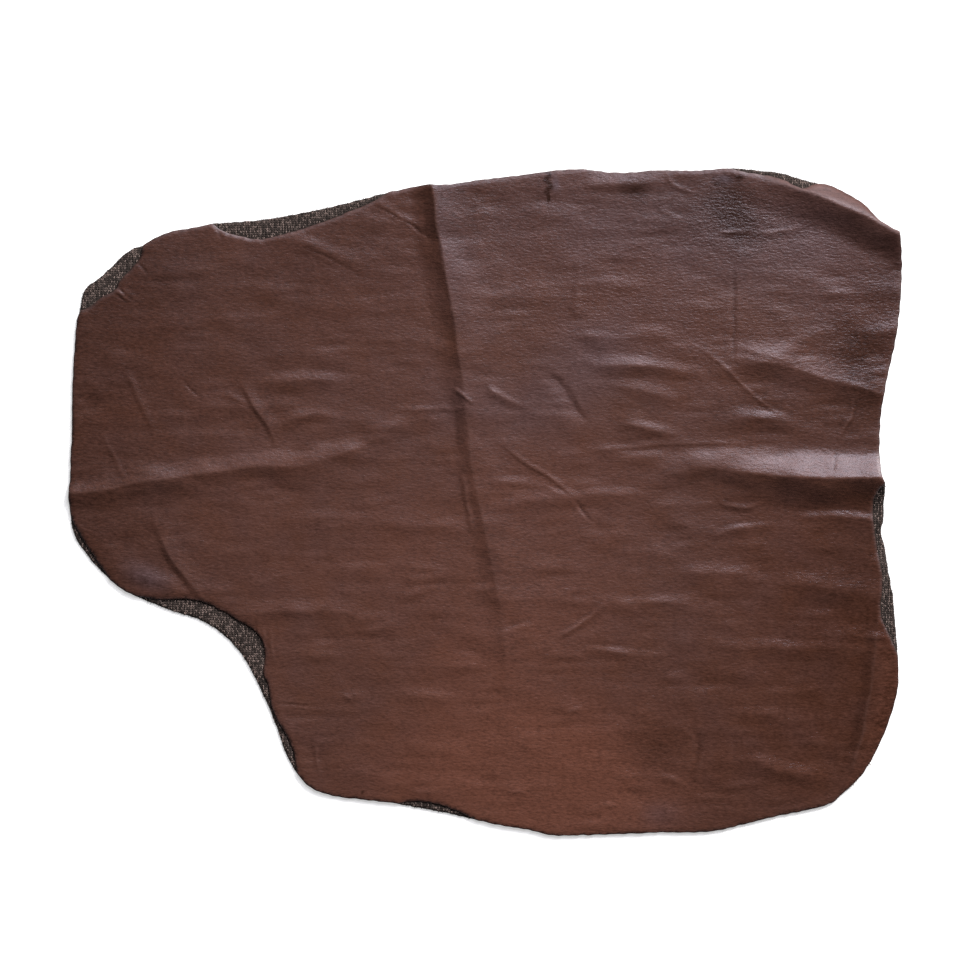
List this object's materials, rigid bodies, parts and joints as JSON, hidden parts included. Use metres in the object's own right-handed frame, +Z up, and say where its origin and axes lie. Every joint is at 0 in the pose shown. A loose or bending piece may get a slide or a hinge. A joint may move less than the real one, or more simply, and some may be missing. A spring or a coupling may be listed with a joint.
{
  "type": "leather hide",
  "caption": "Cut leather hide with rounded uneven edges, bonded to a dark knitted backing, lying flat with storage folds.",
  "frame": {"origin": "on the table, under the middle of the hide's bounding box", "axes": "+X along the hide's length, +Y across it towards its upper edge, +Z up out of the leather's face"},
  "size_m": [0.6893, 0.5527, 0.01],
  "materials": {
    "brown_leather": "satin",
    "charcoal_knit": "matte"
  },
  "bodies": {
    "root": {"leather_skin": "brown_leather", "backing_cloth": "charcoal_knit"}
  },
  "joints": []
}
